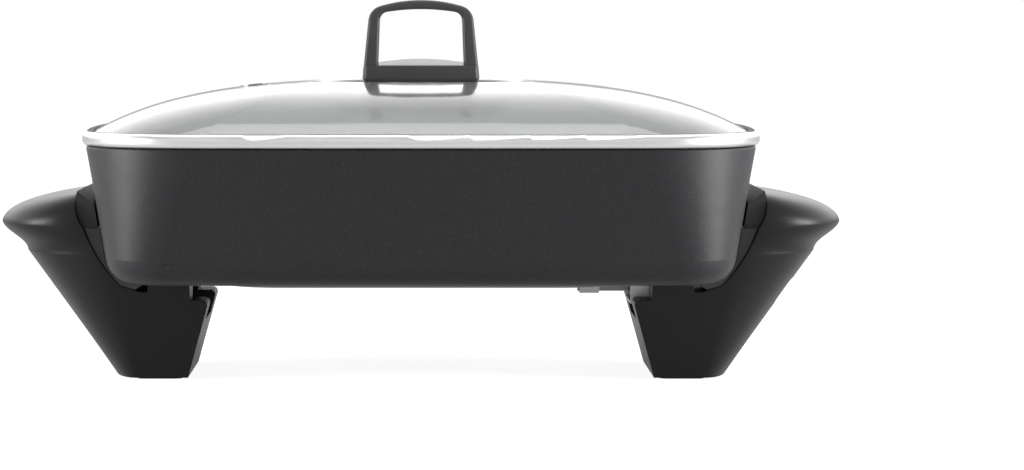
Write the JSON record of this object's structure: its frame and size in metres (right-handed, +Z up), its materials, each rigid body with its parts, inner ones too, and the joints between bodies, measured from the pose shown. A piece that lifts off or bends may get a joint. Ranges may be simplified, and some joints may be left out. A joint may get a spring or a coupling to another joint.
{
  "type": "electric skillet",
  "caption": "Deep rectangular electric skillet with a lift-off domed glass lid, moulded end grips that form its legs, and an inlet for a detachable thermostat plug",
  "frame": {"origin": "on the floor, under the middle of the pan", "axes": "+X along the length towards the thermostat inlet, +Y to the back, +Z up"},
  "size_m": [0.5124, 0.303, 0.2276],
  "materials": {
    "coated_casting": "cast aluminium under a dark grey flecked non-stick coat",
    "sheath_steel": "dull drawn tube",
    "bead_ceramic": "matt",
    "plated_pins": "nickel plate",
    "sheet_steel": "mill",
    "screw_steel": "zinc plate",
    "moulded_black": "satin moulded thermoset",
    "bracket_metal": "dark satin",
    "liner_black": "matt moulded",
    "pad_rubber": "matt",
    "lid_glass": "clear tempered",
    "band_steel": "polished stainless",
    "seal_rubber": "silicone",
    "insert_aluminium": "satin"
  },
  "bodies": {
    "base": {"pan": "coated_casting", "heating_element": "sheath_steel", "pin_beads": "bead_ceramic", "terminal_pins": "plated_pins", "probe_tube": "sheath_steel", "probe_clip": "sheet_steel", "probe_clip_screws": "screw_steel", "inlet_guard": "sheet_steel", "inlet_guard_screws": "screw_steel", "right_pod": "moulded_black", "left_pod": "moulded_black", "right_strap": "bracket_metal", "left_strap": "bracket_metal", "right_liner": "liner_black", "left_liner": "liner_black", "pod_screws": "screw_steel", "strap_screws": "screw_steel", "foot_pads": "pad_rubber"},
    "lid": {"lid_glass": "lid_glass", "rim_band": "band_steel", "rim_seal": "seal_rubber", "vent_grommet": "sheet_steel", "vent_collar": "sheet_steel", "handle_loop": "moulded_black", "handle_bar": "moulded_black", "handle_insert": "insert_aluminium", "handle_foot_plate": "moulded_black", "handle_gaskets": "seal_rubber", "glass_gaskets": "seal_rubber", "handle_washers": "sheet_steel", "handle_screws": "screw_steel"}
  },
  "joints": [
    {"name": "lid_lift", "type": "slide", "parent": "base", "child": "lid", "axis": [0, 0, 1], "range_m": [0, 0.15]}
  ]
}
